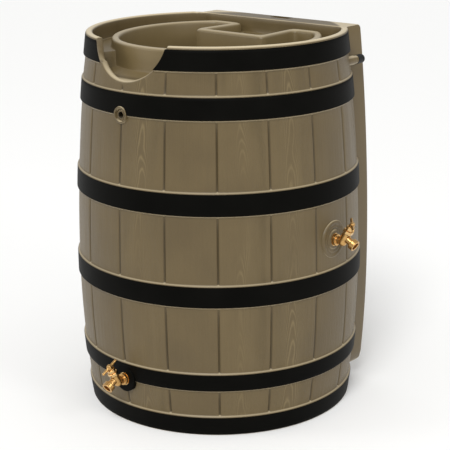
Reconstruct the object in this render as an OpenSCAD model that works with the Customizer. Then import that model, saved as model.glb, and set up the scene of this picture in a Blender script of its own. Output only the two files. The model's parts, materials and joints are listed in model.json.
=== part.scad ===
/* [Barrel] */
// Height to the top of the rim
barrel_h = 890; // [886:1:894]
// Largest radius, on the fourth band
belly_r = 342.3; // [340:0.1:345]
// Height of the widest place
belly_z = 330; // [325:1:335]
// Wall thickness of the moulding
wall_t = 6; // [5:0.5:6.5]
// How far the ribs stand out from the staves
rib_h = 4.5; // [4:0.5:5]
// Thickness of the black bands
band_t = 1.2; // [1:0.1:1.5]
// Distance from the axis to the flat back
back_y = 260; // [258:1:262]
// Half width of the square rear corners at the widest place
corner_w = 259; // [257:1:261]
// Angle from one stave groove to the next
stave_angle = 20.6; // [20.2:0.1:21]
// Width of a stave groove
groove_w = 4.5; // [3.5:0.5:5]
// Depth of a stave groove
groove_d = 2.5; // [1.5:0.5:3]

/* [Top] */
// Thickness of the rounded rim
rim_t = 17; // [15:0.5:18]
// Height of the channel floor between rim and planter
moat_z = 850; // [848:1:852]
// Height of the planter wall's top
ridge_z = 874; // [870:1:876]
// Outer radius of the planter wall
ridge_r = 246; // [244:1:248]
// Thickness of the planter wall
ridge_t = 20; // [18:1:22]
// Distance from the axis to the back of the planter wall
ridge_back = 187; // [185:1:188]
// Height of the planter floor
planter_z = 770; // [765:1:775]
// Height of the inlet bay floor
bay_z = 840; // [838:1:842]
// Height of the rear deck
deck_z = 887.5; // [887:0.5:888]
// Radius of the round overflow notch
notch_r = 109; // [105:1:111]
// Height of the lowest point of the notch
notch_z = 807; // [805:1:809]

/* [Inlet screen] */
// Radius of the inlet hole in the bay floor
inlet_r = 52; // [50:1:54]
// Distance from the axis to the inlet's centre
inlet_y = 124; // [122:1:126]
// Width of the screen frame's flange
screen_flange = 13; // [12:0.5:14]
// Number of screen screws
screen_screws_n = 4; // [4, 6]

/* [Taps] */
// Height of the lower tap
lower_tap_z = 115; // [112:1:118]
// Height of the side tap
side_tap_z = 434.5; // [430:0.5:440]
// Angle from the front to the side tap
side_tap_angle = 92.7; // [90:0.1:96]
// Angle of the side tap's handle when closed
side_handle_angle = -47; // [-90:1:90]
// Lift of the valve when fully open
tap_lift = 5; // [4:0.5:5]
// Outside radius of the hose thread
hose_r = 13.25; // [13.2:0.05:13.4]
// Length of the tap's bar handle
bar_l = 51; // [46:1:56]

/* [Overflow nozzle] */
// Outside radius of the overflow nozzle
nozzle_r = 9.5; // [9:0.5:10]
// Height of the overflow nozzle
nozzle_z = 814; // [812:1:816]
// Distance from the mid plane to the nozzle's axis
nozzle_x = 255; // [254:1:256]
// Distance from the axis to the nozzle's open end
nozzle_end = 218; // [216:1:220]

/* [Hidden] */
$fn = 96;

khaki = "#7d6e50";
black = "#151412";
brass = "#c98f2e";
rubber = "#222222";
steel = "#b8b8b4";

far = 400;              // reach of cutting shapes, past every surface
gap = 0.05;             // radial running clearance of moving pieces
// Bands from the top down: [lower edge, upper edge]
bands = [[838, barrel_h - 6], [734, 783], [525, 574], [316.5, 364.5], [114, 154], [2, 45.6]];
rib_edge = 3;           // height of a rib's sloping edge

function hoop_r(z) = belly_r - pow(z - belly_z, 2) / (z > belly_z ? 8400 : 4400);
function stave_r(z) = hoop_r(z) - rib_h;
function corner_x(z) = corner_w - pow(z - belly_z, 2) / (z > belly_z ? 9600 : 5300);
function mix(a, b, t) = a + (b - a) * t;

rim_r = hoop_r(bands[0][1]) - band_t;   // outer radius of the rim
rim_mid = rim_r - rim_t / 2;
port_z = bands[1][0] - 0.8;             // the front port sits on this band's lower edge
port_face = hoop_r(port_z) + 1;
boss_face = hoop_r(lower_tap_z) + 3.2;  // flat face the lower tap seats on
ring_face = stave_r(side_tap_z) + 3;    // flat face the side tap seats on
slab_z0 = 38;                           // lower end of the square rear corners
split_z = 760;                          // the moulding is kept as two nodes, below and above this height
slab_y0 = 150;                          // the corner block starts inside the round wall
spill_half = 28;                        // half angle of the spillway pocket
deck_y = ridge_back + 9;                // front edge of the rear deck

// ---- outlines -------------------------------------------------------------

// One band's face between its edges, as points from the bottom up
function face(b, inset) = [for (t = [0, 0.5, 1]) let (z = mix(b[0], b[1], t)) [hoop_r(z) - inset, z]];

// The stave course above band i, from the bottom up, with its ends drawn in by trim
function course(i, inset, trim = 0) = let (a = bands[i][1] + rib_edge + trim,
    b = bands[i - 1][0] - rib_edge - trim) [for (t = [0 : 1/3 : 1.01]) let (z = mix(a, b, t)) [stave_r(z) - inset, z]];

outer_points = concat(
    [[0, 0], [hoop_r(0) - 4, 0]],
    [for (i = [5 : -1 : 0]) each concat(face(bands[i], band_t), i > 0 ? course(i, 0) : [])],
    [for (a = [15 : 15 : 165]) [rim_mid + rim_t / 2 * cos(a), bands[0][1] + 6 * sin(a)]],
    [[rim_mid - rim_t / 2, moat_z + 6], [rim_mid - rim_t / 2 - 6, moat_z], [0, moat_z]]);

inner_top = moat_z - wall_t;
inner_points = concat([[0, wall_t]],
    [for (t = [0 : 1/12 : 1.01]) let (z = mix(wall_t, inner_top, t)) [stave_r(z) - wall_t, z]],
    [[0, inner_top]]);

// Planter wall outline, moved inwards by g: a circle cut off at the back, with the inlet bay let in
function ridge_outline(g) = let (r = ridge_r - g, y = ridge_back - g, a = asin(y / r)) concat(
    [for (t = [0 : 1/60 : 1.001]) let (b = mix(a, -180 - a, t)) [r * cos(b), r * sin(b)]],
    [[-77 - g, y], [-87 - g, 57 - g], [87 + g, 57 - g], [77 + g, y]]);

function bay_outline(g) = [[-77 - g, deck_y], [-87 - g, 57 - g], [87 + g, 57 - g], [77 + g, deck_y]];

function slab_side(inset) = [for (t = [0 : 1/14 : 1.01]) let (z = mix(slab_z0 + 30, deck_z - inset, t))
    [corner_x(z) - inset, z]];
// Square rear corners seen from behind, with their rounded lower ends
function slab_outline(inset) = let (side = concat(
    [for (a = [0 : 18 : 89]) [corner_x(slab_z0 + 30) - 30 + (30 - inset) * sin(a),
        slab_z0 + 30 - (30 - inset) * cos(a)]], slab_side(inset)))
    concat(side, [for (i = [len(side) - 1 : -1 : 0]) [-side[i][0], side[i][1]]]);

// ---- helpers --------------------------------------------------------------

module front_of(y) { translate([-far, -far, -1]) cube([2 * far, far + y, 2 * far + 200]); }

// Extrudes an outline drawn in x and z along y, from y0 to y1
module along_y(y0, y1) { translate([0, y1, 0]) rotate([90, 0, 0]) linear_extrude(y1 - y0) children(); }

// Sector of the plan on both sides of the front, from z0 up
module front_sector(half, z0) {
    translate([0, 0, z0]) linear_extrude(200)
        polygon([[0, 0], for (s = [-1 : 0.5 : 1]) [far * sin(s * half), -far * cos(s * half)]]);
}

// Places a child that is drawn facing the front at an angle round the barrel
module round_at(angle, z) { translate([0, 0, z]) rotate([0, 0, angle]) children(); }

// Cylinder lying along y, from distance a to distance b in front of the axis
module peg(r, a, b) { translate([0, -a, 0]) rotate([90, 0, 0]) cylinder(r = r, h = b - a); }

// ---- tank shell -----------------------------------------------------------

module slab(inset, y1) { along_y(slab_y0, y1) polygon(slab_outline(inset)); }

module notch(grow) { translate([0, 0, notch_z + notch_r]) peg(notch_r + grow, 262, far); }

// Grooves between the staves, one prism for each course
module grooves() {
    for (k = [-6 : 6], i = [5 : -1 : 1])
        rotate([0, 0, k * stave_angle - 90]) rotate([90, 0, 0])
            linear_extrude(groove_w, center = true)
                polygon(concat(course(i, groove_d, 1.2), [for (p = [3, 0]) course(i, -8, 1.2)[p]]));
}

module shell_outside() {
    difference() {
        intersection() {
            rotate_extrude($fn = 180) polygon(outer_points);
            front_of(back_y);
        }
        grooves();
    }
    slab(0, back_y);
    // rear deck
    intersection() {
        translate([0, 0, moat_z - 5]) cylinder(r = rim_r - 1, h = deck_z - moat_z + 5, $fn = 180);
        translate([-far, deck_y, 0]) cube([2 * far, back_y - deck_y, 2 * far + 200]);
    }
    // planter wall, with a stepped rounding at its top
    for (s = [[0, 6], [2.5, 2.5], [6, 0]])
        translate([0, 0, moat_z - 5]) linear_extrude(ridge_z - s[1] - moat_z + 5)
            polygon(ridge_outline(s[0]));
    // front port's rim and side tap's rings
    round_at(0, port_z) peg(19, 300, port_face);
    round_at(side_tap_angle, side_tap_z) peg(44, 310, ring_face - 1.5);
    round_at(side_tap_angle, side_tap_z) peg(22, 310, ring_face);
    // overflow nozzle, parallel to the flat side
    translate([nozzle_x, 0, nozzle_z]) peg(nozzle_r, -nozzle_end, -185);
    translate([nozzle_x, 0, nozzle_z]) peg(nozzle_r + 1.2, -191, -155);
}

// Room for the water
module cavity() {
    difference() {
        union() {
            intersection() {
                rotate_extrude($fn = 180) polygon(inner_points);
                front_of(back_y - wall_t);
            }
            // the square corners, up to the rear deck
            intersection() {
                slab(wall_t, back_y - wall_t);
                translate([-far, deck_y + wall_t, 0]) cube([2 * far, far, 2 * far + 200]);
            }
        }
        translate([0, 0, planter_z - wall_t]) linear_extrude(300) polygon(ridge_outline(ridge_t - wall_t));
        translate([0, 0, bay_z - wall_t]) linear_extrude(300) polygon(bay_outline(wall_t));
        intersection() {
            rotate_extrude($fn = 180)
                polygon([[ridge_r - 23, 811], [far, 795], [far, 880], [ridge_r - 23, 880]]);
            front_sector(spill_half + 3, 700);
        }
        translate([-34.5, 222, 860]) cube([69, 60, 60]);
    }
}

module moulding() {
    difference() {
        shell_outside();
        cavity();
        // planter and bay hollows
        translate([0, 0, planter_z]) linear_extrude(200) polygon(ridge_outline(ridge_t));
        translate([0, 0, bay_z]) linear_extrude(200) polygon(bay_outline(0));
        // spillway pocket and the notch through the rim
        intersection() {
            rotate_extrude($fn = 180)
                polygon([[ridge_r + 1, 817], [rim_mid, 808], [rim_mid, moat_z + 3], [ridge_r + 1, moat_z + 3]]);
            front_sector(spill_half, 700);
        }
        notch(0);
        // pocket in the deck
        translate([-28.5, 228, deck_z - 20]) cube([57, 25, 40]);
        // inlet and its screw holes
        translate([0, inlet_y, bay_z - 30]) cylinder(r = inlet_r, h = 60);
        screw_ring() translate([0, 0, -14]) cylinder(r = 1.75, h = 20, $fn = 24);
        // front port
        round_at(0, port_z) peg(14.5, port_face - 6, far);
        round_at(0, port_z) peg(10.5, 280, far);
        // tap inserts, with the side tap's recessed ring
        round_at(0, lower_tap_z) peg(15, 290, far);
        round_at(side_tap_angle, side_tap_z) peg(15, 290, far);
        round_at(side_tap_angle, side_tap_z) difference() {
            peg(29, ring_face - 3.5, far);
            peg(22, ring_face - 4, far + 1);
        }
        // nozzle bore
        translate([nozzle_x, 0, nozzle_z]) peg(nozzle_r - 3, -nozzle_end - 1, -120);
    }
}

// Walls and base below the planter
module tank_shell() {
    color(khaki) intersection() {
        moulding();
        translate([-far, -far, -1]) cube([2 * far, 2 * far, split_z + 1]);
    }
}

// Rim, channel, planter, inlet bay and deck
module tank_top() {
    color(khaki) intersection() {
        moulding();
        translate([-far, -far, split_z]) cube([2 * far, 2 * far, far]);
    }
}

// ---- bands ----------------------------------------------------------------

module hoop(n) {
    b = bands[n - 1];
    inner = face(b, band_t);
    difference() {
        union() {
            intersection() {
                rotate_extrude($fn = 180) polygon(concat(face(b, 0), [for (i = [2 : -1 : 0]) inner[i]]));
                front_of(back_y);
            }
            if (n == 5) difference() {
                round_at(0, lower_tap_z) peg(31, 300, boss_face);
                rotate_extrude($fn = 180) polygon(outer_points);
            }
        }
        slab(0, far);
        if (n == 1) notch(2.5);
        if (n == 2) round_at(0, port_z) peg(19.5, 300, far);
        if (n == 5) round_at(0, lower_tap_z) peg(15, 290, far);
    }
}

module hoop_1() { color(black) hoop(1); }
module hoop_2() { color(black) hoop(2); }
module hoop_3() { color(black) hoop(3); }
module hoop_4() { color(black) hoop(4); }
module hoop_5() { color(black) hoop(5); }
module hoop_6() { color(black) hoop(6); }

// ---- moulded-in inserts ---------------------------------------------------

// Flanged bush: its outer end at face_r, its flange against the inside of the wall
module insert(face_r, z, outer_r, bore_r, flange_r) {
    inside = min(stave_r(z - flange_r), stave_r(z + flange_r)) - wall_t - pow(flange_r, 2) / 600;
    difference() {
        union() {
            peg(outer_r, inside - 4, face_r);
            peg(flange_r, inside - 4, inside);
        }
        peg(bore_r, inside - 5, far);
    }
}

module front_port_insert() {
    color(khaki) round_at(0, port_z) insert(port_face - 3.5, port_z, 10.5, 7.25, 15);
}
module lower_tap_insert() {
    color(brass) round_at(0, lower_tap_z) insert(boss_face, lower_tap_z, 15, 10.5, 20);
}
module side_tap_insert() {
    color(brass) round_at(side_tap_angle, side_tap_z) insert(ring_face, side_tap_z, 15, 10.5, 20);
}

// ---- inlet screen ---------------------------------------------------------

frame_z = bay_z + 5;    // top of the frame's flange

// Screw places on the frame, with z = 0 on the bay floor
module screw_ring() {
    for (k = [0 : screen_screws_n - 1]) translate([0, inlet_y, bay_z])
        rotate([0, 0, 45 + k * 360 / screen_screws_n]) translate([inlet_r + 7, 0, 0]) children();
}

module screen_frame() {
    color(black) difference() {
        union() {
            translate([0, inlet_y, bay_z]) cylinder(r = inlet_r + screen_flange, h = frame_z - bay_z);
            translate([0, inlet_y, bay_z - 16]) cylinder(r = inlet_r - 0.5, h = 18);
        }
        translate([0, inlet_y, bay_z - 20]) cylinder(r = inlet_r - 4, h = 40);
        // seat for the mesh
        translate([0, inlet_y, frame_z - 2]) cylinder(r = inlet_r, h = 10);
        screw_ring() translate([0, 0, -1]) cylinder(r = 2, h = 20, $fn = 24);
    }
}

module screen_mesh() {
    color(steel) translate([0, inlet_y, frame_z - 2]) cylinder(r = inlet_r, h = 1);
}

module screen_screws() {
    color(steel) screw_ring() {
        translate([0, 0, -11]) cylinder(r = 1.75, h = 17, $fn = 24);
        difference() {
            translate([0, 0, frame_z - bay_z]) cylinder(r1 = 3.6, r2 = 2.8, h = 2, $fn = 48);
            translate([0, 0, frame_z - bay_z + 1]) for (a = [0, 90]) rotate([0, 0, a])
                translate([-2, -0.4, 0]) cube([4, 0.8, 2]);
        }
    }
}

// ---- overflow cap ---------------------------------------------------------

cap_t = 4;              // thickness of the cap's end

module overflow_cap() {
    color(black) translate([nozzle_x, 0, nozzle_z]) difference() {
        peg(nozzle_r + 1.3, -(nozzle_end + 2 + cap_t), -(nozzle_end - 18));
        peg(nozzle_r + gap, -(nozzle_end + 2), -(nozzle_end - 20));
    }
}

module overflow_cap_seal() {
    color(rubber) translate([nozzle_x, 0, nozzle_z]) peg(nozzle_r - 0.5, -(nozzle_end + 2), -nozzle_end);
}

// ---- taps -----------------------------------------------------------------

// A tap is drawn with its wall face at y = 0, facing the front. Its valve parts are drawn in the
// stem's frame: origin in the middle of the body, z along the stem, the outlet towards -y.
body_out = 21.5;        // from the wall face to the middle of the body
stem_tilt = 30;         // lean of the stem from upright
body_r = 10.5;
outlet_s = 11;          // the outlet's height on the stem
outlet_l = 33;          // from the stem to the nose's end
seat_s = 5;             // top of the valve seat
chamber_r = 7.5;
body_top = 24;
bonnet_s = body_top + 1;
nut_top = bonnet_s + 8;
box_top = nut_top + 6;  // top of the stuffing box
thread_r = 4.6;
stem_r = 3;
bar_s = 48.6;           // the bar handle's height on the stem
hub_h = 8;
bar_r = 3.3;

module lower_place() { round_at(0, lower_tap_z) translate([0, -boss_face, 0]) children(); }
module side_place() { round_at(side_tap_angle, side_tap_z) translate([0, -ring_face, 0]) children(); }
module on_stem(s) { translate([0, -body_out, 0]) rotate([stem_tilt, 0, 0]) translate([0, 0, s]) children(); }

module tap_body() {
    difference() {
        union() {
            peg(10.5, -15, 1);
            peg(13.5, 0, 7);
            peg(9, 0, body_out);
            on_stem(-1.5) sphere(r = body_r);
            on_stem(-1.5) cylinder(r = body_r, h = body_top + 1.5);
            on_stem(outlet_s) peg(8.5, 0, outlet_l - 2);
            on_stem(outlet_s) peg(hose_r, outlet_l - 12, outlet_l);
        }
        // inlet way and lower chamber
        peg(5, -20, body_out - 6);
        on_stem(-7) cylinder(r = 6.5, h = 10);
        // seat, valve chamber and bonnet thread
        on_stem(0) cylinder(r = 4, h = 10);
        on_stem(seat_s) cylinder(r = chamber_r, h = 30);
        on_stem(17.5) cylinder(r = 8.4, h = 30);
        // outlet
        on_stem(outlet_s) peg(5.6, 0, outlet_l - 8);
        on_stem(outlet_s) peg(9, outlet_l - 10, far);
    }
}

module bonnet() {
    difference() {
        union() {
            on_stem(17.5) cylinder(r = 8.4, h = 10);
            on_stem(bonnet_s) cylinder(r = 12.2, h = nut_top - bonnet_s, $fn = 6);
            on_stem(nut_top - 1) cylinder(r = 7.5, h = box_top - nut_top + 1);
        }
        on_stem(10) cylinder(r = thread_r + gap, h = 19.2);
        on_stem(20) cylinder(r = stem_r + gap, h = 30);
        on_stem(nut_top + 1) cylinder(r = 5.5, h = 30);
    }
}

module bonnet_gasket() {
    on_stem(body_top) difference() {
        cylinder(r = body_r, h = bonnet_s - body_top);
        translate([0, 0, -1]) cylinder(r = 8.4, h = 5);
    }
}

module gland_packing() {
    on_stem(nut_top + 1) difference() {
        cylinder(r = 5.5, h = 3);
        translate([0, 0, -1]) cylinder(r = stem_r + gap, h = 9);
    }
}

module gland_nut() {
    difference() {
        union() {
            on_stem(nut_top + 2) cylinder(r = 9.8, h = box_top - nut_top + 1.5, $fn = 6);
            on_stem(box_top) cylinder(r = 7.4, h = 5);
        }
        difference() {
            on_stem(nut_top) cylinder(r = 7.5, h = box_top - nut_top);
            on_stem(nut_top + 4) cylinder(r = 5.45, h = 10);
        }
        on_stem(20) cylinder(r = stem_r + gap, h = 40);
    }
}

module stem() {
    difference() {
        union() {
            on_stem(7.5) cylinder(r = 6, h = 2);
            on_stem(8) cylinder(r = stem_r, h = bar_s + hub_h / 2 - 8);
            on_stem(12) cylinder(r = thread_r, h = 11);
        }
        on_stem(4) cylinder(r = 1.5, h = 8, $fn = 24);
        on_stem(bar_s - 4) cylinder(r = 1.5, h = 20, $fn = 24);
    }
}

module seat_washer() {
    on_stem(seat_s) difference() {
        cylinder(r = 6, h = 2.5);
        translate([0, 0, -1]) cylinder(r = 1.5 + gap, h = 5, $fn = 48);
    }
}

module washer_screw() {
    on_stem(seat_s - 1.4) cylinder(r = 2.8, h = 1.35, $fn = 48);
    on_stem(seat_s - 0.5) cylinder(r = 1.5, h = 7, $fn = 24);
}

// Bar handle on its hub, turned by the given angle about the stem
module handle(angle) {
    on_stem(bar_s) rotate([0, 0, angle]) difference() {
        union() {
            translate([0, 0, -hub_h / 2]) cylinder(r = 6, h = hub_h);
            for (a = [0, 180]) rotate([0, 0, a]) {
                rotate([90, 0, 0]) cylinder(r1 = bar_r + 0.4, r2 = bar_r - 0.3, h = bar_l / 2 - bar_r);
                translate([0, -bar_l / 2 + bar_r, 0]) sphere(r = bar_r - 0.3, $fn = 48);
            }
        }
        translate([0, 0, -20]) cylinder(r = stem_r, h = 40);
    }
}

module handle_screw() {
    on_stem(bar_s + hub_h / 2) difference() {
        cylinder(r1 = 4.2, r2 = 3.4, h = 2.4, $fn = 48);
        translate([-5, -0.5, 1.4]) cube([10, 1, 3]);
    }
    on_stem(bar_s - 3) cylinder(r = 1.5, h = hub_h / 2 + 3.5, $fn = 24);
}

module lower_tap_body() { color(brass) lower_place() tap_body(); }
module lower_bonnet() { color(brass) lower_place() bonnet(); }
module lower_bonnet_gasket() { color(rubber) lower_place() bonnet_gasket(); }
module lower_gland_packing() { color(rubber) lower_place() gland_packing(); }
module lower_gland_nut() { color(brass) lower_place() gland_nut(); }
module lower_stem() { color(brass) lower_place() stem(); }
module lower_seat_washer() { color(rubber) lower_place() seat_washer(); }
module lower_washer_screw() { color(brass) lower_place() washer_screw(); }
module lower_handle() { color(brass) lower_place() handle(0); }
module lower_handle_screw() { color(brass) lower_place() handle_screw(); }

module side_tap_body() { color(brass) side_place() tap_body(); }
module side_bonnet() { color(brass) side_place() bonnet(); }
module side_bonnet_gasket() { color(rubber) side_place() bonnet_gasket(); }
module side_gland_packing() { color(rubber) side_place() gland_packing(); }
module side_gland_nut() { color(brass) side_place() gland_nut(); }
module side_stem() { color(brass) side_place() stem(); }
module side_seat_washer() { color(rubber) side_place() seat_washer(); }
module side_washer_screw() { color(brass) side_place() washer_screw(); }
module side_handle() { color(brass) side_place() handle(side_handle_angle); }
module side_handle_screw() { color(brass) side_place() handle_screw(); }

// ---- assembly -------------------------------------------------------------

tank_shell();
tank_top();
hoop_1();
hoop_2();
hoop_3();
hoop_4();
hoop_5();
hoop_6();
front_port_insert();
lower_tap_insert();
side_tap_insert();
screen_frame();
screen_mesh();
screen_screws();
overflow_cap();
overflow_cap_seal();
lower_tap_body();
lower_bonnet();
lower_bonnet_gasket();
lower_gland_packing();
lower_gland_nut();
lower_stem();
lower_seat_washer();
lower_washer_screw();
lower_handle();
lower_handle_screw();
side_tap_body();
side_bonnet();
side_bonnet_gasket();
side_gland_packing();
side_gland_nut();
side_stem();
side_seat_washer();
side_washer_screw();
side_handle();
side_handle_screw();
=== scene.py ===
import math, json
import bpy, bmesh
from mathutils import Vector, Matrix


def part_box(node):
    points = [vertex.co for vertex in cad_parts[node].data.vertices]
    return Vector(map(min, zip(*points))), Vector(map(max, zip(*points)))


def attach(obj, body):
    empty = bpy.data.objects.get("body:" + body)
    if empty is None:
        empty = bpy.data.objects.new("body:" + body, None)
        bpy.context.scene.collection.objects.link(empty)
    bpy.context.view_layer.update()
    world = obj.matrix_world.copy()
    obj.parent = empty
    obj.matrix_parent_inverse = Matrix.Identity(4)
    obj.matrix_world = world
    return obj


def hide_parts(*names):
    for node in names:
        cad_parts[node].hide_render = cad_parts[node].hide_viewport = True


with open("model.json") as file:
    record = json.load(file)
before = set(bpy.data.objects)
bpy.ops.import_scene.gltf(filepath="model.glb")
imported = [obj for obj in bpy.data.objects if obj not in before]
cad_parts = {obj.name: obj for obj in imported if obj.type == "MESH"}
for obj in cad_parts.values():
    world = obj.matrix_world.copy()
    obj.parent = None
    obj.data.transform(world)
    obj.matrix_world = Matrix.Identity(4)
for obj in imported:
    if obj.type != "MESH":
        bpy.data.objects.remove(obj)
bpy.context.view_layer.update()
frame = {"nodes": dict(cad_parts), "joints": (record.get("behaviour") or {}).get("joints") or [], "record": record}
nodes = frame["nodes"]
print("stage: frame loaded,", len(nodes), "nodes")

# node maths

class Val:
    # a socket that takes Python operators; every operator adds one Math node
    def __init__(self, tree, socket):
        self.tree, self.socket = tree, socket

    def calc(self, op, *others):
        return addNode(self.tree, "ShaderNodeMath", {"operation": op}, dict(enumerate((self,) + others)))

    def __add__(self, o): return self.calc("ADD", o)
    def __radd__(self, o): return self.calc("ADD", o)
    def __sub__(self, o): return self.calc("SUBTRACT", o)
    def __rsub__(self, o): return addNode(self.tree, "ShaderNodeMath", {"operation": "SUBTRACT"}, {0: o, 1: self})
    def __mul__(self, o): return self.calc("MULTIPLY", o)
    def __rmul__(self, o): return self.calc("MULTIPLY", o)
    def __truediv__(self, o): return self.calc("DIVIDE", o)
    def __pow__(self, o): return self.calc("POWER", o)
    def clamped(self, lo=0.0, hi=1.0): return self.calc("MAXIMUM", lo).calc("MINIMUM", hi)
    def between(self, a, b): return ((self - a) / (b - a)).clamped()   # 0 at a, 1 at b

def addNode(tree, kind, settings=None, ins=None, out=0):
    # any node: its settings first, then values or links for its sockets; returns one output
    n = tree.nodes.new(kind)
    for key, v in (settings or {}).items():
        setattr(n, key, v)
    for key, v in (ins or {}).items():
        if isinstance(v, Val):
            tree.links.new(v.socket, n.inputs[key])
        else:
            n.inputs[key].default_value = v
    return Val(tree, n.outputs[out])

def srgb(r, g, b):
    return tuple((c / 255 / 12.92) if c <= 10 else ((c / 255 + 0.055) / 1.055) ** 2.4 for c in (r, g, b))

# materials

def newMaterial(name):
    m = bpy.data.materials.new(name)
    m.use_nodes = True
    t = m.node_tree
    t.nodes.clear()
    shader = t.nodes.new("ShaderNodeBsdfPrincipled")
    out = t.nodes.new("ShaderNodeOutputMaterial")
    t.links.new(shader.outputs[0], out.inputs[0])
    return m, t, shader

def setShader(t, shader, **ins):
    for key, v in ins.items():
        socket = shader.inputs[key.replace("_", " ")]
        if isinstance(v, Val):
            t.links.new(v.socket, socket)
        else:
            socket.default_value = v

def mixColour(t, fac, a, b):
    n = t.nodes.new("ShaderNodeMix")
    n.data_type = "RGBA"
    for i, v in ((0, fac), (6, a), (7, b)):
        if isinstance(v, Val):
            t.links.new(v.socket, n.inputs[i])
        else:
            n.inputs[i].default_value = v if i == 0 else (*v, 1)
    return Val(t, n.outputs[2])

def noise(t, vec, scale, detail=3.0, rough=0.55):
    return addNode(t, "ShaderNodeTexNoise", None,
                   {"Vector": vec, "Scale": scale, "Detail": detail, "Roughness": rough})

def objectPlace(t):
    vec = addNode(t, "ShaderNodeTexCoord", out=3)
    sep = addNode(t, "ShaderNodeSeparateXYZ", None, {0: vec})
    x, y, z = (Val(t, sep.socket.node.outputs[i]) for i in range(3))
    return vec, x, y, z

def combine(t, x, y, z):
    return addNode(t, "ShaderNodeCombineXYZ", None, {0: x, 1: y, 2: z})

def bump(t, height, distance):
    return addNode(t, "ShaderNodeBump", None, {"Strength": 1.0, "Distance": distance, "Height": height})

khakiLook = dict(base=(105, 89, 57), dark=(86, 72, 45), light=(136, 119, 83), lip=(222, 206, 172),
                 deep=(40, 33, 20), portShade=(14, 12, 8), portZ=sum(v.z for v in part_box("front_port_insert")) / 2,
                 staveAngle=20.6, grainBump=0.00050, rough=0.40)

def khakiMaterial(k=khakiLook):
    m, t, shader = newMaterial("khakiPlastic")
    vec, x, y, z = objectPlace(t)
    # round the barrel: u runs along the arc, across holds the place between two grooves
    turn = x.calc("ARCTAN2", y * -1) / math.radians(k["staveAngle"])
    stave = turn.calc("FLOOR")
    across = turn - stave - 0.5
    lot = addNode(t, "ShaderNodeTexWhiteNoise", {"noise_dimensions": "1D"}, {"W": stave})
    u = turn * (math.radians(k["staveAngle"]) * 0.33)
    normal = addNode(t, "ShaderNodeNewGeometry", out=1)
    nz = Val(t, addNode(t, "ShaderNodeSeparateXYZ", None, {0: normal}).socket.node.outputs[2])
    radius = (x * x + y * y) ** 0.5
    upright = 1 - nz.calc("ABSOLUTE").between(0.35, 0.8)
    wall = upright * radius.between(0.290, 0.296) * (1 - y.between(0.165, 0.175))
    # fine upright grain, its own on every stave
    shift = lot * 7.0
    grainPlace = combine(t, (u + shift) * 340, shift, (z + shift) * 7)
    fine = noise(t, grainPlace, 1.0, 5.0, 0.6)
    wide = noise(t, combine(t, (u + shift) * 60, shift, (z + shift) * 2.2), 1.0, 3.0)
    wander = noise(t, combine(t, (u + shift) * 9, shift, z * 4), 1.0, 2.0)
    # nested arches of plain-sawn boards, on some staves
    ripple = noise(t, combine(t, (u + shift) * 55, shift, z * 22), 1.0, 3.0)
    lean = across + (wander - 0.5) * 0.30 + (lot - 0.5) * 0.2
    arch = z * 0.55 + lean * lean * 3.4 + wander * 0.16 + ripple * 0.022 + lot * 0.2
    rings = ((arch * (2 * math.pi / 0.026)).calc("SINE") * 0.5 + 0.5) ** 4.0
    some = lot.between(0.25, 0.45) * (1 - across.calc("ABSOLUTE").between(0.34, 0.46))
    patch = noise(t, combine(t, (u + shift) * 12, 3.0, z * 3.0), 1.0, 1.0).between(0.40, 0.58)
    lines = rings * some * patch * wall
    streak = fine.between(0.35, 0.72) * wall
    # soft mottling and fine pits of the moulding
    cloud = noise(t, vec, 7.0, 3.0)
    pits = noise(t, vec, 900.0, 2.0)
    speckle = noise(t, vec, 260.0, 2.0).between(0.30, 0.70)
    tone = (cloud.between(0.3, 0.7) * 0.5 + lot * 0.22 + wide * 0.25 + speckle * 0.12 - 0.18).clamped()
    colour = mixColour(t, tone, srgb(*k["dark"]), srgb(*k["base"]))
    colour = mixColour(t, streak * 0.30, colour, srgb(*k["dark"]))
    colour = mixColour(t, lines * 0.42, colour, srgb(*k["light"]))
    # painted highlight on the ribs' upper edges, and painted reflected light on their lower edges under the bands
    upper = nz.between(0.55, 0.97) * radius.between(0.284, 0.292)
    under = (nz * -1).between(0.35, 0.85) * radius.between(0.284, 0.292)
    colour = mixColour(t, upper * 0.66 + under * 0.42, colour, srgb(*k["lip"]))
    # painted highlight on the rounded rim and ridge tops, with the flat deck left out
    flatDeck = nz.between(0.97, 0.995) * y.between(0.185, 0.195)
    rimHighlight = nz.between(0.45, 0.88) * z.between(0.860, 0.868) * (1 - flatDeck)
    colour = mixColour(t, rimHighlight * 0.42, colour, srgb(*k["lip"]))
    planter = z.between(0.770, 0.780) * (1 - radius.between(0.272, 0.280)) * (1 - y.between(0.19, 0.20))
    inside = (1 - rimHighlight) * planter      # painted light: a little lighter down in the planter, lifting its shade
    colour = mixColour(t, inside * 0.40, colour, srgb(*k["light"]))
    groove = addNode(t, "ShaderNodeAttribute", {"attribute_name": "groove"}, out=2)
    # painted shade: dark inside the front port
    rise = z - k["portZ"]
    hole = (1 - ((x * x + rise * rise) ** 0.5).between(0.0072, 0.0080)) * (1 - y.between(-0.25, -0.24))
    colour = mixColour(t, hole * 0.9, colour, srgb(*k["portShade"]))
    # painted shade: the pressed-in stave grooves are darkened
    colour = mixColour(t, groove.between(0.05, 0.9) * 0.55, colour, srgb(*k["deep"]))
    height = (streak * -0.55) + lines * 0.8 + pits * 0.22 + wide * 0.2
    rough = (cloud * 0.12 + streak * 0.14 + k["rough"] - 0.08).clamped(0.2, 0.8)
    setShader(t, shader, Base_Color=colour, Roughness=rough, Normal=bump(t, height, k["grainBump"]),
              Specular_IOR_Level=0.42)
    return m

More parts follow.
